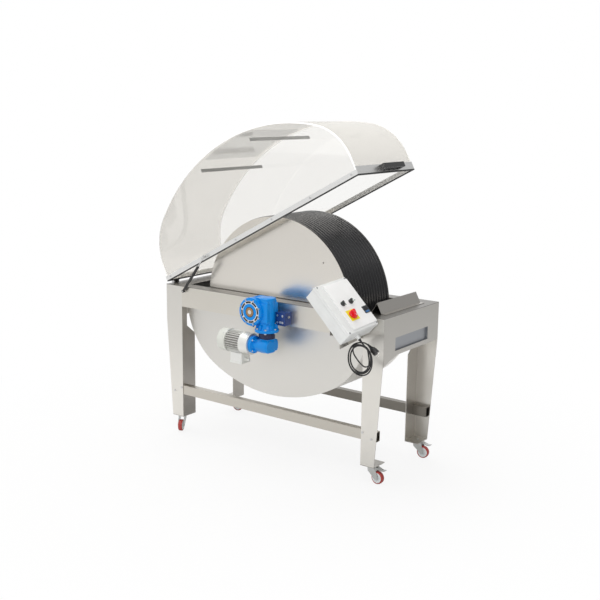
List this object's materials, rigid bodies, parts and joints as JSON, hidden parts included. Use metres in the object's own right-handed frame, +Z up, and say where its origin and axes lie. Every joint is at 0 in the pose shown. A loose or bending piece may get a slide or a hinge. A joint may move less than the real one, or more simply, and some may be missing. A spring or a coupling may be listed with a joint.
{
  "type": "drum machine with hinged hood",
  "caption": "Wheeled stainless tank with a motor-driven ribbed drum, a clear arched lid on a gas spring, a geared motor and a tilted control box.",
  "frame": {"origin": "floor level under the middle of the machine, at the centre of its box without the mains cord", "axes": "+Z up, +X along the machine from the hood hinges to the control end, +Y from the drive side to the rear"},
  "size_m": [1.7679, 0.929, 2.0297],
  "materials": {
    "stainless_frame": "brushed stainless sheet, warm grey",
    "stainless_tank": "rolled stainless sheet, satin",
    "stainless_disc": "bright cold-rolled stainless, soft reflections",
    "recess_plate": "blue-grey satin plate",
    "steel_fittings": "bright machined steel",
    "bearing_iron": "grey enamelled cast iron",
    "drum_steel": "plain steel, hidden",
    "drum_black": "semi-gloss black ribbed covering",
    "gear_blue": "bright blue gloss enamel",
    "arm_navy": "dark blue enamel",
    "motor_alu": "plain cast aluminium",
    "box_grey": "light grey powder coat",
    "box_white": "off-white powder coat",
    "box_screw_grey": "grey plastic screw caps",
    "display_black": "dark glossy window",
    "plate_yellow": "yellow plate",
    "knob_red": "red knob",
    "knob_black": "black knobs with light marks",
    "hinge_black": "black moulded plastic",
    "hood_clear": "clear polycarbonate",
    "hood_sheet": "whitish clear polycarbonate",
    "hood_vent": "grey tinted polycarbonate with fine lines",
    "hood_strip": "satin aluminium",
    "hood_bar": "satin aluminium bars",
    "seal_rubber": "black rubber",
    "strut_black": "dark grey painted tube",
    "castor_zinc": "zinc-plated pressed steel",
    "castor_tread": "red tread on a light grey hub",
    "gland_grey": "light grey plastic gland",
    "cord_black": "black rubber-sheathed cord and plug"
  },
  "bodies": {
    "frame": {"box_base": "box_grey", "box_bracket": "steel_fittings", "box_lid": "box_white", "box_screws": "box_screw_grey", "cord_coil": "cord_black", "cord_gland": "gland_grey", "cord_lead": "cord_black", "cord_plug": "cord_black", "display_window": "display_black", "drive_bolts": "steel_fittings", "drum_guard": "stainless_frame", "end_panel_left": "stainless_frame", "end_panel_right": "stainless_frame", "fan_cover": "motor_alu", "foot_plates": "stainless_frame", "frame_bolts": "steel_fittings", "front_rail": "stainless_frame", "gearbox_lower": "gear_blue", "gearbox_upper": "gear_blue", "hinge_blocks": "steel_fittings", "legs_front": "stainless_frame", "legs_rear": "stainless_frame", "motor_body": "motor_alu", "output_cover": "gear_blue", "rear_rail": "stainless_frame", "recess_tray": "recess_plate", "shaft_bearings": "bearing_iron", "stretchers": "stainless_frame", "switch_plate": "plate_yellow", "tank_shell": "stainless_tank", "tank_sides": "stainless_tank", "top_deck": "stainless_frame", "torque_arm": "arm_navy"},
    "drum": {"drum_disc_front": "stainless_disc", "drum_disc_rear": "stainless_disc", "drum_shell": "drum_steel", "ribbed_sleeve": "drum_black", "drum_shaft": "steel_fittings"},
    "hood": {"hood_cross_bars": "hood_bar", "hood_edge_frame": "hood_strip", "hood_handle": "hinge_black", "hood_screws": "steel_fittings", "hood_seal": "seal_rubber", "hood_sides": "hood_clear", "hood_top_sheet": "hood_sheet", "hood_vent_panel": "hood_vent", "hinge_leaves": "hinge_black"},
    "gas_spring_tube": {"strut_cylinder": "strut_black"},
    "gas_spring_rod": {"strut_rod": "steel_fittings"},
    "main_switch_knob": {"main_switch": "knob_red"},
    "selector_left_knob": {"selector_left": "knob_black"},
    "selector_right_knob": {"selector_right": "knob_black"},
    "castor_front_left": {"castor_fork_front_left": "castor_zinc"},
    "wheel_front_left": {"castor_wheel_front_left": "castor_tread"},
    "castor_front_right": {"castor_fork_front_right": "castor_zinc"},
    "wheel_front_right": {"castor_wheel_front_right": "castor_tread"},
    "castor_rear_left": {"castor_fork_rear_left": "castor_zinc"},
    "wheel_rear_left": {"castor_wheel_rear_left": "castor_tread"},
    "castor_rear_right": {"castor_fork_rear_right": "castor_zinc"},
    "wheel_rear_right": {"castor_wheel_rear_right": "castor_tread"}
  },
  "joints": [
    {"name": "drum_turn", "type": "hinge", "parent": "frame", "child": "drum", "pos_m": [0.0352, 0.1145, 0.932], "axis": [0, 1, 0], "continuous": true},
    {"name": "hood_hinge", "type": "hinge", "parent": "frame", "child": "hood", "pos_m": [-0.8058, 0.1145, 0.983], "axis": [0, -1, 0], "range_deg": [-27.7, 0]},
    {"name": "gas_spring_swing", "type": "hinge", "parent": "frame", "child": "gas_spring_tube", "pos_m": [-0.6298, -0.2085, 0.952], "axis": [0, -1, 0], "range_deg": [-41, 0]},
    {"name": "gas_spring_stroke", "type": "slide", "parent": "gas_spring_tube", "child": "gas_spring_rod", "axis": [0.5978, 0, 0.8017], "range_m": [-0.06, 0]},
    {"name": "castor_swivel_front_left", "type": "hinge", "parent": "frame", "child": "castor_front_left", "pos_m": [-0.7098, -0.1455, 0.11], "axis": [0, 0, 1], "continuous": true},
    {"name": "wheel_roll_front_left", "type": "hinge", "parent": "castor_front_left", "child": "wheel_front_left", "pos_m": [-0.69196, -0.17905, 0.0375], "axis": [0.8829, 0.4695, 0], "continuous": true},
    {"name": "castor_swivel_front_right", "type": "hinge", "parent": "frame", "child": "castor_front_right", "pos_m": [0.7802, -0.1455, 0.11], "axis": [0, 0, 1], "continuous": true},
    {"name": "wheel_roll_front_right", "type": "hinge", "parent": "castor_front_right", "child": "wheel_front_right", "pos_m": [0.81811, -0.14815, 0.0375], "axis": [0.0698, 0.9976, 0], "continuous": true},
    {"name": "castor_swivel_rear_left", "type": "hinge", "parent": "frame", "child": "castor_rear_left", "pos_m": [-0.7098, 0.3745, 0.11], "axis": [0, 0, 1], "continuous": true},
    {"name": "wheel_roll_rear_left", "type": "hinge", "parent": "castor_rear_left", "child": "wheel_rear_left", "pos_m": [-0.67263, 0.3824, 0.0375], "axis": [-0.2079, 0.9781, 0], "continuous": true},
    {"name": "castor_swivel_rear_right", "type": "hinge", "parent": "frame", "child": "castor_rear_right", "pos_m": [0.7802, 0.3745, 0.11], "axis": [0, 0, 1], "continuous": true},
    {"name": "wheel_roll_rear_right", "type": "hinge", "parent": "castor_rear_right", "child": "wheel_rear_right", "pos_m": [0.81799, 0.37847, 0.0375], "axis": [-0.1045, 0.9945, 0], "continuous": true},
    {"name": "main_switch_turn", "type": "hinge", "parent": "frame", "child": "main_switch_knob", "pos_m": [0.75857, -0.35671, 1.01952], "axis": [0.7002, -0.1392, 0.7002], "range_deg": [0, 90]},
    {"name": "selector_left_turn", "type": "hinge", "parent": "frame", "child": "selector_left_knob", "pos_m": [0.69993, -0.37029, 1.0726], "axis": [0.7002, -0.1392, 0.7002], "range_deg": [-45, 45]},
    {"name": "selector_right_turn", "type": "hinge", "parent": "frame", "child": "selector_right_knob", "pos_m": [0.70845, -0.30593, 1.07687], "axis": [0.7002, -0.1392, 0.7002], "range_deg": [-45, 45]}
  ],
  "couplings": [
    {"joint": "gas_spring_swing", "follows": "hood_hinge", "ratio": 1.473},
    {"joint": "gas_spring_stroke", "follows": "hood_hinge", "m_per_rad": 0.1212}
  ]
}
